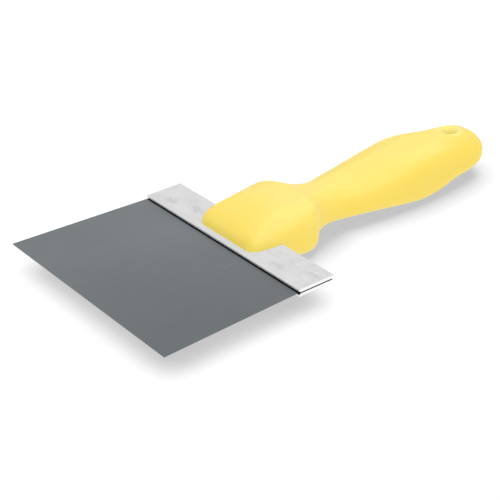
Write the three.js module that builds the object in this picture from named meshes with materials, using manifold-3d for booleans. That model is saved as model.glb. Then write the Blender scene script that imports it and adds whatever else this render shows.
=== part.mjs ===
// Flexible putty knife: a thin spring-steel blade pinched in an aluminium backing channel, three rivets
// through both, and a one-piece moulded handle that grips the backing above and below.
// Millimetres. +X runs across the blade, +Y from the working edge to the butt of the handle, +Z is up.
// While the pieces are made, y = 0 is at the lips of the backing and z = 0 is the blade's middle plane.
// The last lines move the whole tool so that its origin is the bottom centre of its box.

import * as THREE from 'three';
import { mergeVertices } from 'three/addons/utils/BufferGeometryUtils.js';
import Module from 'manifold-3d';

const wasm = await Module();
wasm.setup();

// Blade
const BLADE_EDGE_WIDTH = 127;
const BLADE_ROOT_WIDTH = 120.6;
const BLADE_FREE_LENGTH = 79.5;
const BLADE_TUCK = 20;
const BLADE_THICKNESS = 0.5;

// A wide thin blade bends as if it turned about a line this fraction of its free length from the lips.
const FLEX_FRACTION = 0.15;
const FLEX_GAP = 0.3;

// Backing channel
const BACKING_LENGTH = 121.8;
const BACKING_DEPTH = 22;
const LEAF_THICKNESS = 1.55;
const SLOT_HEIGHT = 0.7;
const SLOT_DEPTH = BACKING_DEPTH - 1.3;
const MOUTH_HEIGHT = 0.55;
const MOUTH_DEPTH = 0.9;
const OUTER_CHAMFER = 0.2;
const BACKING_HALF_THICKNESS = SLOT_HEIGHT / 2 + LEAF_THICKNESS;

// Rivets
const RIVET_SPACING = 13;
const RIVET_Y = BACKING_DEPTH / 2;
const SHANK_RADIUS = 1.6;
const RIVET_HOLE_RADIUS = 1.85;
const RIVET_HEAD_RADIUS = 3;
const RIVET_HEAD_HEIGHT = 0.9;
const RIVET_SEAT_GAP = 0.05;
const RIVET_CROWN_RADIUS = 2.1;
const RIVET_EDGE_HEIGHT = 0.3;
const RIVET_CROWN_DROP = 0.15;
const RIVET_SEGMENTS = 24;

// How far a hole's cutter reaches past the plate it cuts, as a multiple of the plate's thickness.
const CUTTER_REACH = 4;

// Handle. Its middle plane sits a little above the blade's.
const HANDLE_FRONT = 3.5;
const HANDLE_END = 181;
const HANDLE_RISE = 0.5;
const REST_HALF_HEIGHT = 14.3;
const HANDLE_RINGS = 56;
const CORNER_STEPS = 3;
const HANDLE_CLEARANCE = 0.3;

// Handle stations: distance from the lips, then half width, half height, half width of the flat on top,
// and height of the side wall's upper edge. Half heights above the resting one are levelled off to it.
const HANDLE_STATIONS = [
  [HANDLE_FRONT, 17.4, 3.2, 15.8, 2.2],
  [4.3, 19.2, 5, 17, 3],
  [6, 20.7, 6.9, 17.9, 4],
  [9, 22, 8.7, 18.2, 4.6],
  [20, 23.5, 12.4, 16, 6.4],
  [32, 24, 14.3, 13, 9],
  [42, 23.5, 14.6, 12, 11.2],
  [47, 21.9, 14.2, 10.8, 10.7],
  [50.5, 18.2, 13.1, 9.2, 9.8],
  [54, 14.9, 11.9, 7.7, 8.4],
  [58, 13.4, 11, 6.8, 7],
  [64, 13, 10.6, 5.6, 5.5],
  [80, 15.6, 11.2, 5, 6.2],
  [97, 18, 12.7, 5.5, 7.4],
  [114, 18.9, 14.3, 6.5, 9.9],
  [128, 19.1, 14.8, 7.1, 11.9],
  [142, 18.1, 14.6, 6.7, 10.8],
  [156, 16.5, 14.2, 5.7, 7.4],
  [168, 15.2, 13, 5, 6.4],
  [176.5, 12.7, 9.8, 4.1, 5.2],
  [179.8, 9.1, 6.9, 3.1, 3.9],
  [HANDLE_END, 4.6, 3.6, 1.9, 1.9],
];

// Rounding of the handle's section. The shoulder's rounding runs in over the flat by a share of the flat, or
// by a reach if that is less. The sloping face keeps straight between two shares of its length. The side
// wall keeps straight below a share of its height.
const SHOULDER_SHARE = 0.45;
const SHOULDER_REACH = 3;
const SLOPE_START = 0.3;
const SLOPE_END = 0.52;
const SIDE_START = 0.25;

// Hang hole
const HANG_HOLE_Y = 162.5;
const HANG_HOLE_RADIUS = 3.4;
const HANG_RIM_RADIUS = 7.4;
const HANG_RIM_FACE = 13.7;
const HANG_RIM_DEPTH = 4.5;
const HANG_RIM_STEPS = 4;
const HANG_HOLE_SEGMENTS = 32;

const steel = new THREE.MeshStandardMaterial({ color: 0x757b7d, roughness: 0.42, metalness: 0.9 });
const aluminium = new THREE.MeshStandardMaterial({ color: 0xdadada, roughness: 0.38, metalness: 0.85 });
const rivetSteel = new THREE.MeshStandardMaterial({ color: 0xb4b6b8, roughness: 0.35, metalness: 0.9 });
const yellowPlastic = new THREE.MeshStandardMaterial({ color: 0xf9e272, roughness: 0.55, metalness: 0 });

// A closed geometry as a manifold solid, so that it can be joined or cut. A lathe's triangles at its
// poles have two corners in one place, so they are dropped.
function toSolid(geometry) {
  const bare = geometry.clone();
  bare.deleteAttribute('normal');
  bare.deleteAttribute('uv');
  const merged = mergeVertices(bare);
  const triangles = [];
  for (let i = 0; i < merged.index.count; i += 3) {
    const [a, b, c] = merged.index.array.slice(i, i + 3);
    if (a !== b && b !== c && c !== a) {
      triangles.push(a, b, c);
    }
  }
  return new wasm.Manifold(new wasm.Mesh({
    numProp: 3,
    vertProperties: new Float32Array(merged.attributes.position.array),
    triVerts: new Uint32Array(triangles),
  }));
}

function toGeometry(solid) {
  const mesh = solid.getMesh();
  const geometry = new THREE.BufferGeometry();
  geometry.setAttribute('position', new THREE.BufferAttribute(mesh.vertProperties, 3));
  geometry.setIndex(new THREE.BufferAttribute(mesh.triVerts, 1));
  geometry.computeVertexNormals();
  return geometry;
}

function cut(geometry, cutters) {
  let solid = toSolid(geometry);
  for (const cutter of cutters) {
    solid = solid.subtract(toSolid(cutter));
  }
  return toGeometry(solid);
}

function namedMesh(name, geometry, material) {
  const mesh = new THREE.Mesh(geometry, material);
  mesh.name = name;
  return mesh;
}

// An upright cylinder at one rivet's place.
function rivetCylinder(x, radius, height) {
  const cylinder = new THREE.CylinderGeometry(radius, radius, height, RIVET_SEGMENTS);
  cylinder.rotateX(Math.PI / 2);
  return cylinder.translate(x, RIVET_Y, 0);
}

const rivetPlaces = [-RIVET_SPACING, 0, RIVET_SPACING];

// Width of the blade at a distance from the lips: parallel inside the backing, flared in front of it.
function bladeHalfWidth(y) {
  const flare = Math.max(0, -y / BLADE_FREE_LENGTH);
  return (BLADE_ROOT_WIDTH + (BLADE_EDGE_WIDTH - BLADE_ROOT_WIDTH) * flare) / 2;
}

// A flat length of the blade from one distance to another, with the lips as a corner where it crosses them.
function bladePlate(front, back) {
  const outline = [front, back];
  if (front < 0 && back > 0) {
    outline.splice(1, 0, 0);
  }
  const rightSide = outline.map((y) => new THREE.Vector2(bladeHalfWidth(y), y));
  const leftSide = rightSide.map((point) => new THREE.Vector2(-point.x, point.y)).reverse();
  const plate = new THREE.ExtrudeGeometry(new THREE.Shape([...rightSide, ...leftSide]), {
    depth: BLADE_THICKNESS,
    bevelEnabled: false,
  });
  return plate.translate(0, 0, -BLADE_THICKNESS / 2);
}

const flexLine = -FLEX_FRACTION * BLADE_FREE_LENGTH;

function makeBladeRoot() {
  const holes = rivetPlaces.map((x) => rivetCylinder(x, RIVET_HOLE_RADIUS, CUTTER_REACH * BLADE_THICKNESS));
  return cut(bladePlate(flexLine + FLEX_GAP / 2, BLADE_TUCK), holes);
}

function makeBlade() {
  return bladePlate(-BLADE_FREE_LENGTH, flexLine - FLEX_GAP / 2);
}

// The channel's section is drawn in depth and height, then drawn out along X.
function makeBacking() {
  const top = BACKING_HALF_THICKNESS;
  const slot = SLOT_HEIGHT / 2;
  const upperHalf = [
    [SLOT_DEPTH, slot],
    [MOUTH_DEPTH, slot],
    [MOUTH_DEPTH, slot + MOUTH_HEIGHT],
    [0, slot + MOUTH_HEIGHT],
    [0, top - OUTER_CHAMFER],
    [OUTER_CHAMFER, top],
    [BACKING_DEPTH - OUTER_CHAMFER, top],
    [BACKING_DEPTH, top - OUTER_CHAMFER],
  ];
  const lowerHalf = upperHalf.map(([y, z]) => [y, -z]).reverse();
  const section = new THREE.Shape([...upperHalf, ...lowerHalf].map(([y, z]) => new THREE.Vector2(y, z)));
  const channel = new THREE.ExtrudeGeometry(section, { depth: BACKING_LENGTH, bevelEnabled: false });
  channel.translate(0, 0, -BACKING_LENGTH / 2);
  channel.applyMatrix4(new THREE.Matrix4().makeBasis(
    new THREE.Vector3(0, 1, 0),
    new THREE.Vector3(0, 0, 1),
    new THREE.Vector3(1, 0, 0),
  ));
  const holeHeight = CUTTER_REACH * BACKING_HALF_THICKNESS;
  const holes = rivetPlaces.map((x) => rivetCylinder(x, RIVET_HOLE_RADIUS, holeHeight));
  return cut(channel, holes);
}

// A rivet turned about its own upright axis: a straight shank between two shallow domed heads.
function makeRivet() {
  const seat = BACKING_HALF_THICKNESS + RIVET_SEAT_GAP;
  const crown = seat + RIVET_HEAD_HEIGHT;
  const upper = [
    [SHANK_RADIUS, seat],
    [RIVET_HEAD_RADIUS, seat],
    [RIVET_HEAD_RADIUS, seat + RIVET_EDGE_HEIGHT],
    [RIVET_CROWN_RADIUS, crown - RIVET_CROWN_DROP],
    [0, crown],
  ];
  const lower = upper.map(([radius, z]) => [radius, -z]).reverse();
  const profile = [...lower, ...upper].map(([radius, z]) => new THREE.Vector2(radius, z));
  return new THREE.LatheGeometry(profile, RIVET_SEGMENTS).rotateX(Math.PI / 2);
}

// Section of the handle: a flat top, a sloping face, an upright side, the same below, corners rounded.
function handleSection([halfWidth, halfHeight, flat, side]) {
  const shoulder = new THREE.Vector2(flat, halfHeight);
  const brow = new THREE.Vector2(halfWidth, side);
  const flatEnd = new THREE.Vector2(flat - Math.min(flat * SHOULDER_SHARE, SHOULDER_REACH), halfHeight);
  const slopeStart = shoulder.clone().lerp(brow, SLOPE_START);
  const slopeEnd = shoulder.clone().lerp(brow, SLOPE_END);
  const sideStart = new THREE.Vector2(halfWidth, side * SIDE_START);
  const quarter = [flatEnd, shoulder, slopeStart, slopeEnd, brow, sideStart];
  const mirror = (points, x, y) => points.map((p) => new THREE.Vector2(p.x * x, p.y * y)).reverse();
  const right = [...quarter, ...mirror(quarter, 1, -1)];
  const around = [...right, ...mirror(right, -1, 1)];

  const shape = new THREE.Shape();
  shape.moveTo(around.at(-1).x, around.at(-1).y);
  for (let i = 0; i < around.length; i += 3) {
    const [start, corner, end] = around.slice(i, i + 3);
    shape.lineTo(start.x, start.y);
    shape.quadraticCurveTo(corner.x, corner.y, end.x, end.y);
  }
  return shape.getPoints(CORNER_STEPS).slice(1);
}

// A closed skin through rings of equal point counts, each ring at its own y. The two ends are flat fans
// about a middle point.
function loft(rings, distances) {
  const count = rings[0].length;
  const lastRing = rings.length - 1;
  const positions = rings.flatMap((ring, r) => ring.flatMap((point) => [point.x, distances[r], point.y]));
  const frontMiddle = rings.length * count;
  const endMiddle = frontMiddle + 1;
  positions.push(0, distances[0], 0, 0, distances[lastRing], 0);
  const index = [];
  for (let i = 0; i < count; i += 1) {
    const next = (i + 1) % count;
    index.push(frontMiddle, next, i);
    index.push(endMiddle, lastRing * count + i, lastRing * count + next);
    for (let r = 0; r < lastRing; r += 1) {
      const near = r * count;
      const far = near + count;
      index.push(near + i, near + next, far + i);
      index.push(near + next, far + next, far + i);
    }
  }
  const geometry = new THREE.BufferGeometry();
  geometry.setAttribute('position', new THREE.Float32BufferAttribute(positions, 3));
  geometry.setIndex(index);
  return geometry;
}

function handleBody() {
  const stationPlaces = HANDLE_STATIONS.map((station) => station[0]);
  const stationShapes = HANDLE_STATIONS.flatMap((station) => station.slice(1));
  const shapeAt = new THREE.CubicInterpolant(stationPlaces, stationShapes, 4);
  const distances = [];
  const rings = [];
  for (let i = 0; i <= HANDLE_RINGS; i += 1) {
    // Rings crowd towards both ends, where the skin turns fastest.
    const along = (1 - Math.cos((Math.PI * i) / HANDLE_RINGS)) / 2;
    const y = THREE.MathUtils.lerp(HANDLE_FRONT, HANDLE_END, (along + i / HANDLE_RINGS) / 2);
    const shape = Array.from(shapeAt.evaluate(y));
    shape[1] = Math.min(shape[1], REST_HALF_HEIGHT);
    distances.push(y);
    rings.push(handleSection(shape));
  }
  return loft(rings, distances).translate(0, 0, HANDLE_RISE);
}

// The hang hole as a spindle: a straight bore that flares out in a long rounded rim above and below.
function hangHoleCutter() {
  const flare = HANG_RIM_RADIUS - HANG_HOLE_RADIUS;
  const upper = [];
  for (let i = 0; i <= HANG_RIM_STEPS; i += 1) {
    const angle = (i / HANG_RIM_STEPS) * (Math.PI / 2);
    upper.push([
      HANG_RIM_RADIUS - flare * Math.cos(angle),
      HANG_RIM_FACE - HANG_RIM_DEPTH * (1 - Math.sin(angle)),
    ]);
  }
  upper.push([HANG_RIM_RADIUS, 2 * REST_HALF_HEIGHT], [0, 2 * REST_HALF_HEIGHT]);
  const lower = upper.map(([radius, z]) => [radius, -z]).reverse();
  const profile = [...lower, ...upper].map(([radius, z]) => new THREE.Vector2(radius, z));
  const spindle = new THREE.LatheGeometry(profile, HANG_HOLE_SEGMENTS).rotateX(Math.PI / 2);
  return spindle.translate(0, HANG_HOLE_Y, HANDLE_RISE);
}

function makeHandle() {
  const slotBack = BACKING_DEPTH + HANDLE_CLEARANCE;
  const slotFront = -HANDLE_FRONT;
  const slotHeight = 2 * (BACKING_HALF_THICKNESS + HANDLE_CLEARANCE);
  const slot = new THREE.BoxGeometry(BACKING_LENGTH, slotBack - slotFront, slotHeight);
  slot.translate(0, (slotBack + slotFront) / 2, 0);
  const pocketHeight = 2 * (BACKING_HALF_THICKNESS + RIVET_HEAD_HEIGHT + HANDLE_CLEARANCE);
  const pocketRadius = RIVET_HEAD_RADIUS + HANDLE_CLEARANCE;
  const pockets = rivetPlaces.map((x) => rivetCylinder(x, pocketRadius, pocketHeight));
  return cut(handleBody(), [slot, ...pockets, hangHoleCutter()]);
}

const knife = new THREE.Group();
knife.add(namedMesh('handle', makeHandle(), yellowPlastic));
knife.add(namedMesh('backing', makeBacking(), aluminium));
knife.add(namedMesh('blade_root', makeBladeRoot(), steel));
knife.add(namedMesh('blade', makeBlade(), steel));
for (const [i, x] of rivetPlaces.entries()) {
  const rivet = namedMesh(`rivet_${['left', 'middle', 'right'][i]}`, makeRivet(), rivetSteel);
  rivet.position.set(x, RIVET_Y, 0);
  knife.add(rivet);
}
knife.position.set(0, (BLADE_FREE_LENGTH - HANDLE_END) / 2, REST_HALF_HEIGHT - HANDLE_RISE);

export default knife;
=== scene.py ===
"""Looks of the flexible putty knife: handle, aluminium backing, spring-steel blade and three rivets.

Metres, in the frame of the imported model: +X across the blade, +Y from the working edge to the butt,
+Z up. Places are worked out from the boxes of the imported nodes, and along Y they are counted from the
lips, the front edge of the backing. MM turns a size given in millimetres to metres.
"""

import math

import bmesh
import bpy
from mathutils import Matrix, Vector


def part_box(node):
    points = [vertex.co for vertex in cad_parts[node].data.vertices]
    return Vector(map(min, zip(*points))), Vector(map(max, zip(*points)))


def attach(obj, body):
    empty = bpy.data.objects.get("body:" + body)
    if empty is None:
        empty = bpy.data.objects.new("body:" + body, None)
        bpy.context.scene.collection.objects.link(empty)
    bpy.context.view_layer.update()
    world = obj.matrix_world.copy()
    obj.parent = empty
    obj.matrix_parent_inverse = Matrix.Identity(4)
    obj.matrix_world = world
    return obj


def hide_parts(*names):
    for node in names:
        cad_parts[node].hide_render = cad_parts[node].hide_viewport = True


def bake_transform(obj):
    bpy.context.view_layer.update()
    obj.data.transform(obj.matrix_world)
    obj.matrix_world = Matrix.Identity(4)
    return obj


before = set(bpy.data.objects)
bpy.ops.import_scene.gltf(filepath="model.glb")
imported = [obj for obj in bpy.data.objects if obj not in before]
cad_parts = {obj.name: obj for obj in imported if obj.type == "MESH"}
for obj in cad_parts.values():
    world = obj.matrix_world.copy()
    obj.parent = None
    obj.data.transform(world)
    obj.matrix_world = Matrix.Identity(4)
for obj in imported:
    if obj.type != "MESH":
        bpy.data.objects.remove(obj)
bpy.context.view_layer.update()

MM = 0.001

HANDLE_LOW, HANDLE_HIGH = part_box("handle")
BACKING_LOW, BACKING_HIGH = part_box("backing")
BLADE_LOW, BLADE_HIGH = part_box("blade")
ROOT_LOW, ROOT_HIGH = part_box("blade_root")
RIVET_NODES = ["rivet_left", "rivet_middle", "rivet_right"]

LIPS_Y = BACKING_LOW.y
BLADE_PLANE_Z = (BLADE_LOW.z + BLADE_HIGH.z) / 2
HANDLE_PLANE_Z = (HANDLE_LOW.z + HANDLE_HIGH.z) / 2
BACKING_TOP = BACKING_HIGH.z - BLADE_PLANE_Z

# ---------------------------------------------------------------- camera

CAMERA_AZIMUTH = 50.87
CAMERA_ELEVATION = 30.06
CAMERA_DISTANCE = 0.7138
CAMERA_AIM = Vector((-7.3, -24.7, -2.9)) * MM
CAMERA_LENS = 99.8
CAMERA_NEAR = 0.01
CAMERA_FAR = 100


def place_facing(name, data, azimuth, elevation, distance, aim=Vector()):
    """A camera or light that looks at its aim. Azimuth 0 is on the -Y side and 90 on the +X side."""
    across, up = math.radians(azimuth), math.radians(elevation)
    back = Vector((math.sin(across) * math.cos(up), -math.cos(across) * math.cos(up), math.sin(up)))
    placed = bpy.data.objects.new(name, data)
    placed.location = aim + back * distance
    placed.rotation_mode = "QUATERNION"
    placed.rotation_quaternion = (-back).to_track_quat("-Z", "Y")
    bpy.context.scene.collection.objects.link(placed)
    return placed


def make_camera():
    data = bpy.data.cameras.new("camera")
    data.lens = CAMERA_LENS
    data.clip_start = CAMERA_NEAR
    data.clip_end = CAMERA_FAR
    bpy.context.scene.camera = place_facing(
        "camera", data, CAMERA_AZIMUTH, CAMERA_ELEVATION, CAMERA_DISTANCE, CAMERA_AIM
    )


make_camera()

# ---------------------------------------------------------------- mesh helpers


def new_piece(name, points, faces):
    mesh = bpy.data.meshes.new(name)
    mesh.from_pydata([tuple(point) for point in points], [], faces)
    mesh.update()
    piece = bpy.data.objects.new(name, mesh)
    bpy.context.scene.collection.objects.link(piece)
    return piece


def face_outwards(piece):
    shell = bmesh.new()
    shell.from_mesh(piece.data)
    bmesh.ops.recalc_face_normals(shell, faces=shell.faces)
    shell.to_mesh(piece.data)
    shell.free()


def apply_modifiers(piece):
    """Turns what the modifiers make into the piece's own mesh."""
    graph = bpy.context.evaluated_depsgraph_get()
    made = bpy.data.meshes.new_from_object(piece.evaluated_get(graph))
    made.name = piece.name
    piece.modifiers.clear()
    piece.data = made


def cut_away(piece, cutters):
    for cutter in cutters:
        face_outwards(cutter)
        modifier = piece.modifiers.new("cut", "BOOLEAN")
        modifier.operation = "DIFFERENCE"
        modifier.solver = "EXACT"
        modifier.object = cutter
        apply_modifiers(piece)
        bpy.data.objects.remove(cutter)


def bevel_edges(piece, width, segments, angle):
    modifier = piece.modifiers.new("bevel", "BEVEL")
    modifier.width = width
    modifier.segments = segments
    modifier.limit_method = "ANGLE"
    modifier.angle_limit = math.radians(angle)
    apply_modifiers(piece)


def smooth(piece, sharp_angle):
    """Smooth shading, sharp past an angle, that leaves wide flat faces flat beside rounded edges."""
    piece.data.shade_smooth()
    piece.data.set_sharp_from_angle(angle=math.radians(sharp_angle))
    modifier = piece.modifiers.new("normals", "WEIGHTED_NORMAL")
    modifier.mode = "FACE_AREA"
    modifier.keep_sharp = True
    apply_modifiers(piece)


def loft(name, rings, front_middle, back_middle):
    """A closed skin through rings of equal counts, its two ends closed by fans about a middle point."""
    count = len(rings[0])
    points = [point for ring in rings for point in ring] + [front_middle, back_middle]
    front, back = len(points) - 2, len(points) - 1
    last = (len(rings) - 1) * count
    faces = []
    for i in range(count):
        following = (i + 1) % count
        faces.append((front, following, i))
        faces.append((back, last + i, last + following))
        for start in range(0, last, count):
            faces.append((start + i, start + following, start + count + following, start + count + i))
    piece = new_piece(name, points, faces)
    face_outwards(piece)
    return piece


def drawn_piece(name, rings):
    """A closed skin through rings of equal counts, its two ends closed by one flat face each."""
    count = len(rings[0])
    points = [point for ring in rings for point in ring]
    last = len(points) - count
    faces = [tuple(range(count)), tuple(range(last, last + count))]
    for start in range(0, last, count):
        for i in range(count):
            following = (i + 1) % count
            faces.append((start + i, start + following, start + count + following, start + count + i))
    piece = new_piece(name, points, faces)
    face_outwards(piece)
    return piece


def box_piece(name, low, high):
    points = [(x, y, z) for x in (low.x, high.x) for y in (low.y, high.y) for z in (low.z, high.z)]
    faces = [(0, 1, 3, 2), (4, 6, 7, 5), (0, 4, 5, 1), (2, 3, 7, 6), (0, 2, 6, 4), (1, 5, 7, 3)]
    return new_piece(name, points, faces)


def turned_piece(name, profile, centre, segments):
    """A solid turned about an upright axis. The profile is (radius, height) pairs from pole to pole."""
    turns = [2 * math.pi * k / segments for k in range(segments)]
    rings = []
    for radius, height in profile[1:-1]:
        ring = [Vector((radius * math.cos(t), radius * math.sin(t), height)) for t in turns]
        rings.append([centre + point for point in ring])
    first = centre + Vector((0, 0, profile[0][1]))
    last = centre + Vector((0, 0, profile[-1][1]))
    return loft(name, rings, first, last)


def mirrored(upper):
    """A whole profile from its upper half, which runs from the middle up."""
    return [(radius, -height) for radius, height in reversed(upper)] + upper


# ---------------------------------------------------------------- handle

HANDLE_RINGS = 240
FLAT_STEPS = 6
CORNER_STEPS = 12
SLOPE_STEPS = 4
SIDE_STEPS = 3
HANDLE_SHARP_ANGLE = 38
CONTACT_GAP = 0.01 * MM
POCKET_GAP = 0.2 * MM
BORE_SEGMENTS = 48

# Distance from the lips, then half width, half height, half width of the flat on top, and height of the
# side wall's upper edge, all in millimetres. Half heights are levelled off to the one it rests on.
HANDLE_STATIONS = [
    (3.5, 17.4, 3.2, 15.8, 2.2),
    (4.3, 19.2, 5, 17, 3),
    (6, 20.7, 6.9, 17.9, 4),
    (9, 22, 8.7, 18.2, 4.6),
    (20, 23.5, 12.4, 16, 6.4),
    (32, 24, 14.3, 13, 9),
    (42, 23.5, 14.6, 12, 11.2),
    (47, 21.9, 14.2, 10.8, 10.7),
    (50.5, 18.2, 13.1, 9.2, 9.8),
    (54, 14.9, 11.9, 7.7, 8.4),
    (58, 13.4, 11, 6.8, 7),
    (64, 13, 10.6, 5.6, 5.5),
    (80, 15.6, 11.2, 5, 6.2),
    (97, 18, 12.7, 5.5, 7.4),
    (114, 18.9, 14.3, 6.5, 9.9),
    (128, 19.1, 14.8, 7.1, 11.9),
    (142, 18.1, 14.6, 6.7, 10.8),
    (156, 16.5, 14.2, 5.7, 7.4),
    (168, 15.2, 13, 5, 6.4),
    (176.5, 12.7, 9.8, 4.1, 5.2),
    (179.8, 9.1, 6.9, 3.1, 3.9),
    (181, 4.6, 3.6, 1.9, 1.9),
]

# How far the rounding of the shoulder runs in over the flat on top: a share of the flat, or millimetres
# if that is less.
SHOULDER_SHARE = 0.45
SHOULDER_REACH = 3

# The straight part of the sloping face as shares of the way from shoulder to brow, and where the
# straight side starts as a share of the brow's height.
SLOPE_START = 0.3
SLOPE_END = 0.52
SIDE_START = 0.25

HANG_HOLE_Y = 162.5
HANG_HOLE_RADIUS = 3.4
HANG_RIM_RADIUS = 7.4
HANG_RIM_FACE = 13.7
HANG_RIM_DEPTH = 4.5
HANG_RIM_STEPS = 12
HANG_CUTTER_TOP = 2 * HANG_RIM_FACE
HANG_HOLE_SEGMENTS = 96


def station_slope(i, column):
    """Mean of the slopes of the stretches on both sides of a station."""
    around = HANDLE_STATIONS[max(i - 1, 0):i + 2]
    slopes = [(b[column] - a[column]) / (b[0] - a[0]) for a, b in zip(around, around[1:])]
    return sum(slopes) / len(slopes)


def shape_at(y):
    """Half width, half height, half flat and side height at a distance from the lips, in mm."""
    last = len(HANDLE_STATIONS) - 2
    i = max(k for k in range(last + 1) if HANDLE_STATIONS[k][0] <= y)
    start, end = HANDLE_STATIONS[i], HANDLE_STATIONS[i + 1]
    length = end[0] - start[0]
    t = (y - start[0]) / length
    shape = []
    for column in range(1, len(start)):
        shape.append(
            (2 * t ** 3 - 3 * t ** 2 + 1) * start[column]
            + (t ** 3 - 2 * t ** 2 + t) * length * station_slope(i, column)
            + (3 * t ** 2 - 2 * t ** 3) * end[column]
            + (t ** 3 - t ** 2) * length * station_slope(i + 1, column)
        )
    half_width, half_height, flat, side = shape
    resting = (HANDLE_HIGH.z - HANDLE_LOW.z) / 2 / MM
    return half_width, min(half_height, resting), flat, side


def curve_through(start, corner, end):
    """Points of the arc-like curve that leaves start towards corner and reaches end from it."""
    points = []
    for k in range(CORNER_STEPS + 1):
        t = k / CORNER_STEPS
        points.append(start * (1 - t) ** 2 + corner * 2 * t * (1 - t) + end * t ** 2)
    return points


def handle_section(half_width, half_height, flat, side):
    """One ring of the handle in (x, z): flat top, sloping face, upright side, mirrored both ways."""
    top = Vector((0, half_height))
    shoulder = Vector((flat, half_height))
    brow = Vector((half_width, side))
    widest = Vector((half_width, 0))
    flat_end = Vector((flat - min(flat * SHOULDER_SHARE, SHOULDER_REACH), half_height))
    slope_start = shoulder.lerp(brow, SLOPE_START)
    slope_end = shoulder.lerp(brow, SLOPE_END)
    side_start = Vector((half_width, side * SIDE_START))
    quarter = [flat_end * (k / FLAT_STEPS) + top * (1 - k / FLAT_STEPS) for k in range(FLAT_STEPS)]
    quarter += curve_through(flat_end, shoulder, slope_start)
    quarter += [slope_start.lerp(slope_end, k / SLOPE_STEPS) for k in range(1, SLOPE_STEPS)]
    quarter += curve_through(slope_end, brow, side_start)
    quarter += [side_start.lerp(widest, k / SIDE_STEPS) for k in range(1, SIDE_STEPS + 1)]
    right = quarter + [Vector((p.x, -p.y)) for p in reversed(quarter[:-1])]
    left = [Vector((-p.x, p.y)) for p in reversed(right[1:-1])]
    return right + left


def handle_body():
    """The whole moulding before anything is cut in it, with its rings closer together at both ends."""
    front, end = HANDLE_STATIONS[0][0], HANDLE_STATIONS[-1][0]
    rings = []
    for k in range(HANDLE_RINGS + 1):
        share = k / HANDLE_RINGS
        crowded = (1 - math.cos(math.pi * share)) / 2
        y = min(end, front + (end - front) * (crowded + share) / 2)
        ring = handle_section(*shape_at(y))
        rings.append([Vector((p.x * MM, LIPS_Y + y * MM, HANDLE_PLANE_Z + p.y * MM)) for p in ring])
    front_middle = Vector((0, LIPS_Y + front * MM, HANDLE_PLANE_Z))
    end_middle = Vector((0, LIPS_Y + end * MM, HANDLE_PLANE_Z))
    return loft("handle_shell", rings, front_middle, end_middle)


def hang_hole_cutter():
    """A straight bore that flares out in a long rounded rim above and below."""
    flare = HANG_RIM_RADIUS - HANG_HOLE_RADIUS
    upper = []
    for k in range(HANG_RIM_STEPS + 1):
        angle = k / HANG_RIM_STEPS * math.pi / 2
        radius = HANG_RIM_RADIUS - flare * math.cos(angle)
        height = HANG_RIM_FACE - HANG_RIM_DEPTH * (1 - math.sin(angle))
        upper.append((radius * MM, height * MM))
    upper += [(HANG_RIM_RADIUS * MM, HANG_CUTTER_TOP * MM), (0, HANG_CUTTER_TOP * MM)]
    centre = Vector((0, LIPS_Y + HANG_HOLE_Y * MM, HANDLE_PLANE_Z))
    return turned_piece("hang_hole", mirrored(upper), centre, HANG_HOLE_SEGMENTS)


def rivet_centre(node):
    low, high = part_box(node)
    middle = (low + high) / 2
    return Vector((middle.x, middle.y, BLADE_PLANE_Z))


def bore_cutter(node, radius, height):
    """A cylinder on a rivet's axis that reaches the height above and below the blade's middle plane."""
    profile = mirrored([(radius, height), (0, height)])
    return turned_piece("bore", profile, rivet_centre(node), BORE_SEGMENTS)


def pocket_cutter(node):
    low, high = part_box(node)
    return bore_cutter(node, (high.x - low.x) / 2 + POCKET_GAP, (high.z - low.z) / 2 + POCKET_GAP)


def make_handle():
    handle = handle_body()
    gap = Vector((1, 1, 1)) * CONTACT_GAP
    slot_low = BACKING_LOW - gap
    slot_low.y -= BACKING_TOP
    slot = box_piece("slot", slot_low, BACKING_HIGH + gap)
    cut_away(handle, [slot, *[pocket_cutter(node) for node in RIVET_NODES], hang_hole_cutter()])
    smooth(handle, HANDLE_SHARP_ANGLE)
    return handle


# ---------------------------------------------------------------- backing

SLOT_HEIGHT = 0.7 * MM
SLOT_WEB = 1.3 * MM
SLOT_BACK_Y = BACKING_HIGH.y - SLOT_WEB
MOUTH_HEIGHT = 0.55 * MM
MOUTH_DEPTH = 0.9 * MM
MOUTH_TOP = SLOT_HEIGHT / 2 + MOUTH_HEIGHT
LIP_ROUND = 0.16 * MM
REAR_ROUND = 0.3 * MM
ROUND_STEPS = 6
BACKING_BEVEL = 0.15 * MM
BACKING_BEVEL_STEPS = 3
BACKING_BEVEL_ANGLE = 30
BACKING_SHARP_ANGLE = 50
RIVET_HOLE_RADIUS = 1.85 * MM
RIVET_HOLE_REACH = 4 * BACKING_TOP


def quarter_round(centre_y, centre_z, radius, start):
    """Points of a quarter circle, turned clockwise from the start angle, in (y, z)."""
    turns = [start - k / ROUND_STEPS * math.pi / 2 for k in range(ROUND_STEPS + 1)]
    return [(centre_y + radius * math.cos(t), centre_z + radius * math.sin(t)) for t in turns]


def cut_rivet_holes(piece):
    cut_away(piece, [bore_cutter(node, RIVET_HOLE_RADIUS, RIVET_HOLE_REACH) for node in RIVET_NODES])


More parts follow.
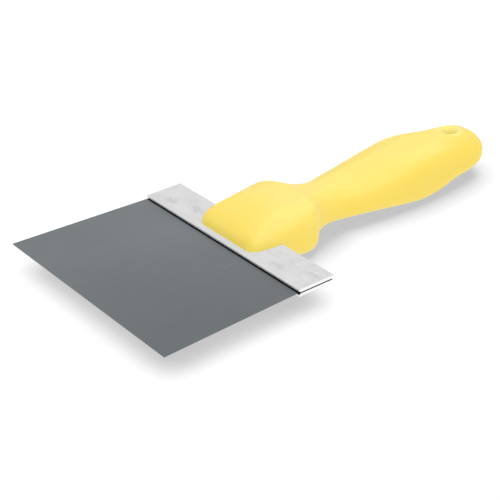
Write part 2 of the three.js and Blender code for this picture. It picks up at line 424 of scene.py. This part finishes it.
def make_backing():
    """The channel: its section in (y, z) drawn out along X, with its edges rounded."""
    upper = [
        (SLOT_BACK_Y, SLOT_HEIGHT / 2),
        (LIPS_Y + MOUTH_DEPTH, SLOT_HEIGHT / 2),
        (LIPS_Y + MOUTH_DEPTH, MOUTH_TOP),
        (LIPS_Y, MOUTH_TOP),
        *quarter_round(LIPS_Y + LIP_ROUND, BACKING_TOP - LIP_ROUND, LIP_ROUND, math.pi),
        *quarter_round(BACKING_HIGH.y - REAR_ROUND, BACKING_TOP - REAR_ROUND, REAR_ROUND, math.pi / 2),
    ]
    section = upper + [(y, -z) for y, z in reversed(upper)]
    ends = (BACKING_LOW.x, BACKING_HIGH.x)
    rings = [[(x, y, BLADE_PLANE_Z + z) for y, z in section] for x in ends]
    backing = drawn_piece("backing_channel", rings)
    cut_rivet_holes(backing)
    bevel_edges(backing, BACKING_BEVEL, BACKING_BEVEL_STEPS, BACKING_BEVEL_ANGLE)
    smooth(backing, BACKING_SHARP_ANGLE)
    return backing


# ---------------------------------------------------------------- blade

BLADE_COLUMNS = 32
BLADE_ROWS = 132
BLADE_BEVEL = 0.09 * MM
BLADE_BEVEL_STEPS = 2
BLADE_BEVEL_ANGLE = 50
BLADE_SHARP_ANGLE = 50


def blade_half_width(y):
    """Parallel inside the backing, flared in front of it."""
    root = ROOT_HIGH.x
    flex_share = (LIPS_Y - ROOT_LOW.y) / (LIPS_Y - BLADE_LOW.y)
    edge = BLADE_HIGH.x
    parallel = (root - edge * flex_share) / (1 - flex_share)
    flare = max(0, (LIPS_Y - y) / (LIPS_Y - BLADE_LOW.y))
    return parallel + (edge - parallel) * flare


def make_blade():
    """One plate from the working edge to the tuck, with rows close enough to bend smoothly."""
    half = (BLADE_HIGH.z - BLADE_LOW.z) / 2
    across = [2 * c / BLADE_COLUMNS - 1 for c in range(BLADE_COLUMNS + 1)]
    rings = []
    for r in range(BLADE_ROWS + 1):
        y = BLADE_LOW.y + (ROOT_HIGH.y - BLADE_LOW.y) * r / BLADE_ROWS
        width = blade_half_width(y)
        top = [Vector((width * x, y, BLADE_PLANE_Z + half)) for x in across]
        bottom = [Vector((width * x, y, BLADE_PLANE_Z - half)) for x in reversed(across)]
        rings.append(top + bottom)
    blade = drawn_piece("blade_plate", rings)
    cut_rivet_holes(blade)
    bevel_edges(blade, BLADE_BEVEL, BLADE_BEVEL_STEPS, BLADE_BEVEL_ANGLE)
    smooth(blade, BLADE_SHARP_ANGLE)
    return blade


# ---------------------------------------------------------------- rivets

SHANK_RADIUS = 1.6 * MM
RIVET_SEGMENTS = 64
RIVET_DOME_STEPS = 8
RIVET_LIP = 0.3 * MM
RIVET_BEVEL = 0.15 * MM
RIVET_SHARP_ANGLE = 40


def make_rivet(node):
    """A straight shank between two shallow domed heads that sit just off the backing."""
    low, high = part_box(node)
    radius = (high.x - low.x) / 2
    seat = BACKING_TOP + CONTACT_GAP
    dome = seat + RIVET_LIP
    rise = (high.z - low.z) / 2 - dome
    upper = [(SHANK_RADIUS, seat), (radius - RIVET_BEVEL, seat), (radius, seat + RIVET_BEVEL)]
    for k in range(RIVET_DOME_STEPS + 1):
        angle = k / RIVET_DOME_STEPS * math.pi / 2
        upper.append((radius * math.cos(angle), dome + rise * math.sin(angle)))
    rivet = turned_piece(node + "_turned", mirrored(upper), rivet_centre(node), RIVET_SEGMENTS)
    smooth(rivet, RIVET_SHARP_ANGLE)
    return rivet


# ---------------------------------------------------------------- material helpers

# The values that a noise texture mostly stays between.
NOISE_LOW = 0.3
NOISE_HIGH = 0.7

# Share of a round spot's reach (the smudges, and the painted light in the hang hole) over which it is
# at its full strength.
SPOT_CORE = 0.1


def add(tree, kind, inputs, **settings):
    """Adds a shader node. An input is a value, or an output of another node to link."""
    made = tree.nodes.new("ShaderNode" + kind)
    for name, value in settings.items():
        setattr(made, name, value)
    for name, value in inputs.items():
        if isinstance(value, bpy.types.NodeSocket):
            tree.links.new(value, made.inputs[name])
        else:
            made.inputs[name].default_value = value
    return made


def new_material(name):
    material = bpy.data.materials.new(name)
    material.use_nodes = True
    material.node_tree.nodes.clear()
    return material, material.node_tree


def finish_material(tree, inputs):
    surface = add(tree, "BsdfPrincipled", inputs)
    add(tree, "OutputMaterial", {"Surface": surface.outputs["BSDF"]})


def millimetres(tree, stretch=(1, 1, 1)):
    """The piece's own coordinates in millimetres, each axis times its stretch."""
    place = add(tree, "TexCoord", {})
    scale = tuple(share / MM for share in stretch)
    return add(tree, "Mapping", {"Vector": place.outputs["Object"], "Scale": scale}).outputs["Vector"]


def axes_of(tree, place):
    return add(tree, "SeparateXYZ", {"Vector": place}).outputs


def calculate(tree, operation, *values):
    return add(tree, "Math", dict(enumerate(values)), operation=operation).outputs[0]


def noise(tree, place, scale, detail, roughness=0.5):
    inputs = {"Vector": place, "Scale": scale, "Detail": detail, "Roughness": roughness}
    return add(tree, "TexNoise", inputs).outputs["Fac"]


def spread(tree, value, low, high, new_low, new_high):
    """Maps low..high to new_low..new_high, held at both ends."""
    made = add(tree, "MapRange", {
        "Value": value, "From Min": low, "From Max": high, "To Min": new_low, "To Max": new_high,
    })
    return made.outputs["Result"]


def rough_from(tree, value, smoothest, roughest):
    """A roughness that follows a noise."""
    return spread(tree, value, NOISE_LOW, NOISE_HIGH, smoothest, roughest)


def mix_colours(tree, factor, first, second):
    made = add(tree, "Mix", {0: factor, 6: first, 7: second}, data_type="RGBA")
    return made.outputs[2]


def tint(tree, colour, other, value, low, high, most):
    """Mixes in the other colour: none of it where the value is low, and the most where it is high."""
    return mix_colours(tree, spread(tree, value, low, high, 0, most), colour, other)


def bump(tree, height, distance, strength, normal=None):
    inputs = {"Height": height, "Distance": distance, "Strength": strength}
    if normal:
        inputs["Normal"] = normal
    return add(tree, "Bump", inputs).outputs["Normal"]


def smudge_and_glow_spot(tree, place, x, y, reach_x, reach_y):
    """One at the middle of a round spot (one of the smudges, or the painted light in the hang hole),
    falling to none at its reach. All four in millimetres.
    """
    scale = (1 / reach_x, 1 / reach_y, 0)
    location = (-x / reach_x, -y / reach_y, 0)
    mapped = add(tree, "Mapping", {"Vector": place, "Scale": scale, "Location": location})
    distance = add(tree, "VectorMath", {0: mapped.outputs["Vector"]}, operation="LENGTH")
    return spread(tree, distance.outputs["Value"], SPOT_CORE, 1, 1, 0)


# ---------------------------------------------------------------- materials

PLASTIC_LIGHT = (0.95, 0.73, 0.145, 1)
PLASTIC_DEEP = (0.94, 0.70, 0.08, 1)
# Painted light in the hang hole: a pale yellow, and how far from the hole's axis it reaches, in
# millimetres.
PLASTIC_PAINTED_GLOW = (1, 0.9, 0.4, 1)
PAINTED_GLOW_REACH = 8.5


def plastic_material():
    """Yellow moulded plastic: satin skin, fine grain, faint flow clouds, painted shade deepening the
    yellow towards the butt and painted light in the hang hole.
    """
    material, tree = new_material("moulded_yellow_plastic")
    place = millimetres(tree)
    clouds = noise(tree, place, scale=0.06, detail=3)
    flow = noise(tree, millimetres(tree, (1, 0.25, 1)), scale=0.35, detail=3)
    grain = noise(tree, place, scale=5, detail=3, roughness=0.6)
    pores = noise(tree, place, scale=1.4, detail=2)
    along = axes_of(tree, place)["Y"]
    # Painted shade: the yellow is painted deeper from the head towards the butt.
    colour = tint(tree, PLASTIC_LIGHT, PLASTIC_DEEP, along, low=-10, high=110, most=0.8)
    colour = tint(tree, colour, PLASTIC_DEEP, clouds, low=0.35, high=0.65, most=0.5)
    colour = tint(tree, colour, PLASTIC_DEEP, flow, low=0.4, high=0.7, most=0.35)
    # Painted light: the hang hole and its rim are painted pale yellow.
    hole = smudge_and_glow_spot(tree, place, 0, LIPS_Y / MM + HANG_HOLE_Y, PAINTED_GLOW_REACH, PAINTED_GLOW_REACH)
    colour = mix_colours(tree, hole, colour, PLASTIC_PAINTED_GLOW)
    ripple = bump(tree, clouds, distance=0.3 * MM, strength=0.25)
    skin = bump(tree, pores, distance=0.04 * MM, strength=0.35, normal=ripple)
    finish_material(tree, {
        "Base Color": colour,
        "Roughness": rough_from(tree, grain, smoothest=0.46, roughest=0.58),
        "IOR": 1.49,
        "Subsurface Weight": 0.5,
        "Subsurface Radius": (1.0, 0.7, 0.25),
        "Subsurface Scale": 6 * MM,
        "Sheen Weight": 0.04,
        "Sheen Roughness": 0.4,
        "Normal": bump(tree, grain, distance=0.015 * MM, strength=0.5, normal=skin),
    })
    return material


ALUMINIUM_LIGHT = (0.86, 0.86, 0.86, 1)
ALUMINIUM_DULL = (0.66, 0.66, 0.665, 1)
# Painted highlight for the cut ends of the backing.
ALUMINIUM_PAINTED_HIGHLIGHT = (0.97, 0.97, 0.97, 1)
ALUMINIUM_SCUFF = (0.4, 0.4, 0.41, 1)
# Painted shade: near black for the inside of the slot and the blade where it goes into it.
PAINTED_SHADE_BLACK = (0.02, 0.02, 0.022, 1)

# Soft dark smudges on the backing: X and Y of the middle, then the reach along X and Y, in millimetres.
SMUDGES = [
    (-31, -40, 9, 4),
    (-48, -44, 7, 3),
    (56, -37, 8, 3),
    (38, -44, 6, 2.5),
]

# Where the painted highlight turns the cut ends bright, and where the painted shade inside the slot
# sets in and stops, in millimetres.
PAINTED_END_HIGHLIGHT_FROM = BACKING_HIGH.x / MM - 0.1
PAINTED_END_HIGHLIGHT_TO = BACKING_HIGH.x / MM - 0.05
SLOT_SHADE_FROM_Y = LIPS_Y / MM + 0.05
SLOT_SHADE_FULL_Y = LIPS_Y / MM + 0.2
SLOT_SHADE_FADES_Y = SLOT_BACK_Y / MM + 0.1
SLOT_SHADE_ENDS_Y = SLOT_BACK_Y / MM + 0.2
SLOT_SHADE_EDGE = 0.03


def painted_slot_shade(tree, axes):
    """Painted shade: one on the walls inside the slot, none on every outer face."""
    upward = calculate(tree, "ADD", axes["Z"], -BLADE_PLANE_Z / MM)
    off_plane = calculate(tree, "ABSOLUTE", upward)
    within = spread(tree, off_plane, MOUTH_TOP / MM, MOUTH_TOP / MM + SLOT_SHADE_EDGE, 1, 0)
    inward = spread(tree, axes["Y"], SLOT_SHADE_FROM_Y, SLOT_SHADE_FULL_Y, 0, 1)
    before_web = spread(tree, axes["Y"], SLOT_SHADE_FADES_Y, SLOT_SHADE_ENDS_Y, 1, 0)
    in_slot = calculate(tree, "MULTIPLY", within, before_web)
    return calculate(tree, "MULTIPLY", in_slot, inward)


def aluminium_material():
    """Satin aluminium: rolled lengthwise, with fine streaks, dull patches, light scuffs and smudges,
    painted shade inside the slot and a painted highlight on the cut ends.
    """
    material, tree = new_material("satin_aluminium")
    place = millimetres(tree)
    axes = axes_of(tree, place)
    streaks = noise(tree, millimetres(tree, (0.04, 1, 1)), scale=4, detail=4, roughness=0.6)
    broad = noise(tree, millimetres(tree, (0.15, 1, 1)), scale=0.5, detail=3)
    patches = noise(tree, place, scale=0.12, detail=4, roughness=0.6)
    scratches = noise(tree, millimetres(tree, (0.03, 1.6, 1)), scale=1.6, detail=3, roughness=0.7)
    breakup = noise(tree, millimetres(tree, (0.35, 1.2, 1)), scale=0.9, detail=4, roughness=0.65)
    colour = tint(tree, ALUMINIUM_LIGHT, ALUMINIUM_DULL, streaks, low=0.35, high=0.7, most=0.4)
    colour = tint(tree, colour, ALUMINIUM_DULL, patches, low=0.45, high=0.75, most=0.5)
    colour = tint(tree, colour, ALUMINIUM_SCUFF, scratches, low=0.6, high=0.72, most=0.35)
    ragged = spread(tree, breakup, low=0.4, high=0.62, new_low=0, new_high=0.55)
    for x, y, reach_x, reach_y in SMUDGES:
        worn = calculate(tree, "MULTIPLY", smudge_and_glow_spot(tree, place, x, y, reach_x, reach_y), ragged)
        colour = mix_colours(tree, worn, colour, ALUMINIUM_SCUFF)
    # Painted shade: the walls inside the slot are painted near black.
    colour = mix_colours(tree, painted_slot_shade(tree, axes), colour, PAINTED_SHADE_BLACK)
    outward = calculate(tree, "ABSOLUTE", axes["X"])
    # Painted highlight: both cut ends of the backing are painted near white.
    colour = tint(tree, colour, ALUMINIUM_PAINTED_HIGHLIGHT, outward, PAINTED_END_HIGHLIGHT_FROM, PAINTED_END_HIGHLIGHT_TO, most=1)
    rolled = bump(tree, streaks, distance=0.01 * MM, strength=0.4)
    finish_material(tree, {
        "Base Color": colour,
        "Metallic": 0.85,
        "Roughness": rough_from(tree, streaks, smoothest=0.44, roughest=0.56),
        "Normal": bump(tree, broad, distance=0.03 * MM, strength=0.3, normal=rolled),
    })
    return material


STEEL_LIGHT = (0.274, 0.294, 0.308, 1)
STEEL_DARK = (0.194, 0.211, 0.222, 1)

# Where the painted shade of the slot sets in on the blade, just in front of the lips, in millimetres.
PAINTED_TUCK_SHADE_FROM = LIPS_Y / MM - 0.9
PAINTED_TUCK_SHADE_TO = LIPS_Y / MM - 0.3


def steel_material():
    """Tempered spring steel: matte blue-grey with a fine grain and faint rolling lines, and painted
    shade that darkens it towards +X, towards the working edge and where it goes into the slot.
    """
    material, tree = new_material("tempered_spring_steel")
    place = millimetres(tree)
    axes = axes_of(tree, place)
    grain = noise(tree, place, scale=3, detail=3, roughness=0.7)
    rolling = noise(tree, millimetres(tree, (1, 0.05, 1)), scale=1.5, detail=4, roughness=0.6)
    clouds = noise(tree, place, scale=0.03, detail=3)
    # Painted shade: the blade is painted darker towards +X and towards the working edge.
    painted_shade_across = spread(tree, axes["X"], low=-30, high=60, new_low=0, new_high=0.75)
    painted_shade_to_edge = spread(tree, axes["Y"], low=-105, high=-50, new_low=0.35, new_high=0)
    painted_blade_shade = calculate(tree, "ADD", painted_shade_across, painted_shade_to_edge)
    colour = mix_colours(tree, painted_blade_shade, STEEL_LIGHT, STEEL_DARK)
    colour = tint(tree, colour, STEEL_DARK, clouds, low=0.35, high=0.65, most=0.3)
    colour = tint(tree, colour, STEEL_DARK, grain, NOISE_LOW, NOISE_HIGH, most=0.3)
    # Painted shade: the blade is painted near black from just in front of the lips into the slot.
    colour = tint(tree, colour, PAINTED_SHADE_BLACK, axes["Y"], PAINTED_TUCK_SHADE_FROM, PAINTED_TUCK_SHADE_TO, most=1)
    rolled = bump(tree, rolling, distance=0.01 * MM, strength=0.3)
    finish_material(tree, {
        "Base Color": colour,
        "Metallic": 1,
        "Roughness": rough_from(tree, rolling, smoothest=0.46, roughest=0.58),
        "Normal": bump(tree, grain, distance=0.01 * MM, strength=0.4, normal=rolled),
    })
    return material


RIVET_LIGHT = (0.62, 0.63, 0.64, 1)
RIVET_DULL = (0.42, 0.43, 0.45, 1)


def rivet_material():
    """Zinc-plated steel: mottled, with fine level lines round it."""
    material, tree = new_material("zinc_plated_rivet")
    mottle = noise(tree, millimetres(tree), scale=1.2, detail=4, roughness=0.6)
    turning = noise(tree, millimetres(tree, (1, 1, 4)), scale=3, detail=3)
    finish_material(tree, {
        "Base Color": tint(tree, RIVET_LIGHT, RIVET_DULL, mottle, low=0.35, high=0.65, most=1),
        "Metallic": 1,
        "Roughness": rough_from(tree, mottle, smoothest=0.28, roughest=0.45),
        "Normal": bump(tree, turning, distance=0.01 * MM, strength=0.4),
    })
    return material


# ---------------------------------------------------------------- pieces: handle, backing and rivets on the handle's body

handle_piece = make_handle()
handle_piece.data.materials.append(plastic_material())
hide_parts("handle")
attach(handle_piece, "handle_body")

backing_piece = make_backing()
backing_piece.data.materials.append(aluminium_material())
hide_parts("backing")
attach(backing_piece, "handle_body")

rivet_finish = rivet_material()
for rivet_node in RIVET_NODES:
    rivet_piece = make_rivet(rivet_node)
    rivet_piece.data.materials.append(rivet_finish)
    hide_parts(rivet_node)
    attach(rivet_piece, "handle_body")

blade_piece = make_blade()
blade_piece.data.materials.append(steel_material())
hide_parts("blade", "blade_root")
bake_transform(blade_piece)

# ---------------------------------------------------------------- stage and light

FLOOR_HALF = 4.0
FLOOR_DROP = 0.05 * MM

# The shade on the floor: how far off an object still shades it, which way the floor's sky leans, the
# share of open sky from which there is no shade, then the shade's strength, fall-off and darkest level.
SHADE_REACH = 23 * MM
SHADE_LEAN = (-0.05, -0.2, 1)
SHADE_SAMPLES = 16
OPEN_SKY = 0.9
SHADE_DEPTH = 1.08
SHADE_FALLOFF = 1.35
SHADE_DARKEST = 0.53

# How brightly the floor glows for the camera, and for the object that it lights.
FLOOR_SEEN = 1.04
FLOOR_BOUNCE = 1.0

WORLD_STRENGTH = 0.85
WHITE = (1, 1, 1, 1)


def floor_material():
    """Gives off an even white light, and for the camera it dims softly where the object shades it."""
    material, tree = new_material("white_floor")
    lean = add(tree, "CombineXYZ", dict(zip("XYZ", SHADE_LEAN))).outputs[0]
    reach = {"Distance": SHADE_REACH, "Normal": lean}
    sky = add(tree, "AmbientOcclusion", reach, samples=SHADE_SAMPLES)
    closed = spread(tree, sky.outputs["AO"], 0, OPEN_SKY, 1, 0)
    depth = calculate(tree, "POWER", closed, SHADE_FALLOFF)
    dimmed = calculate(tree, "MULTIPLY_ADD", depth, -SHADE_DEPTH, 1)
    shade = calculate(tree, "MAXIMUM", dimmed, SHADE_DARKEST)
    seen = add(tree, "LightPath", {}).outputs["Is Camera Ray"]
    unseen = calculate(tree, "SUBTRACT", 1, seen)
    shade_if_seen = calculate(tree, "MAXIMUM", shade, unseen)
    level = spread(tree, seen, 0, 1, FLOOR_BOUNCE, FLOOR_SEEN)
    glow = calculate(tree, "MULTIPLY", shade_if_seen, level)
    emission = add(tree, "Emission", {"Color": WHITE, "Strength": glow})
    add(tree, "OutputMaterial", {"Surface": emission.outputs["Emission"]})
    return material


def make_floor():
    near, far = -FLOOR_HALF, FLOOR_HALF
    corners = [(x, y, -FLOOR_DROP) for x, y in ((near, near), (far, near), (far, far), (near, far))]
    floor = new_piece("floor", corners, [(0, 1, 2, 3)])
    floor.data.materials.append(floor_material())


def make_world():
    world = bpy.data.worlds.new("white_room")
    world.use_nodes = True
    background = world.node_tree.nodes["Background"]
    background.inputs["Color"].default_value = WHITE
    background.inputs["Strength"].default_value = WORLD_STRENGTH
    bpy.context.scene.world = world


def make_softbox(name, azimuth, elevation, distance, size, watts):
    """A square area light that looks at the object's middle."""
    data = bpy.data.lights.new(name, "AREA")
    data.shape = "SQUARE"
    data.size = size
    data.energy = watts
    return place_facing(name, data, azimuth, elevation, distance)


make_floor()
make_world()
make_softbox("key_softbox", azimuth=60, elevation=60, distance=1.2, size=0.8, watts=3.6)
make_softbox("left_fill", azimuth=-30, elevation=3, distance=1.2, size=0.4, watts=0.5)

# Two more lights give only the handle its gloss. The handle doesn't show as a reflection in the metals.
gloss_receivers = bpy.data.collections.new("gloss_receivers")
gloss_receivers.objects.link(handle_piece)
for softbox in (
    make_softbox("head_gloss_softbox", azimuth=100, elevation=55, distance=1.2, size=1, watts=9),
    make_softbox("grip_gloss_softbox", azimuth=207, elevation=48, distance=1.2, size=1.1, watts=9),
):
    softbox.visible_diffuse = False
    softbox.light_linking.receiver_collection = gloss_receivers
handle_piece.visible_glossy = False
bpy.context.scene.view_settings.view_transform = "Standard"
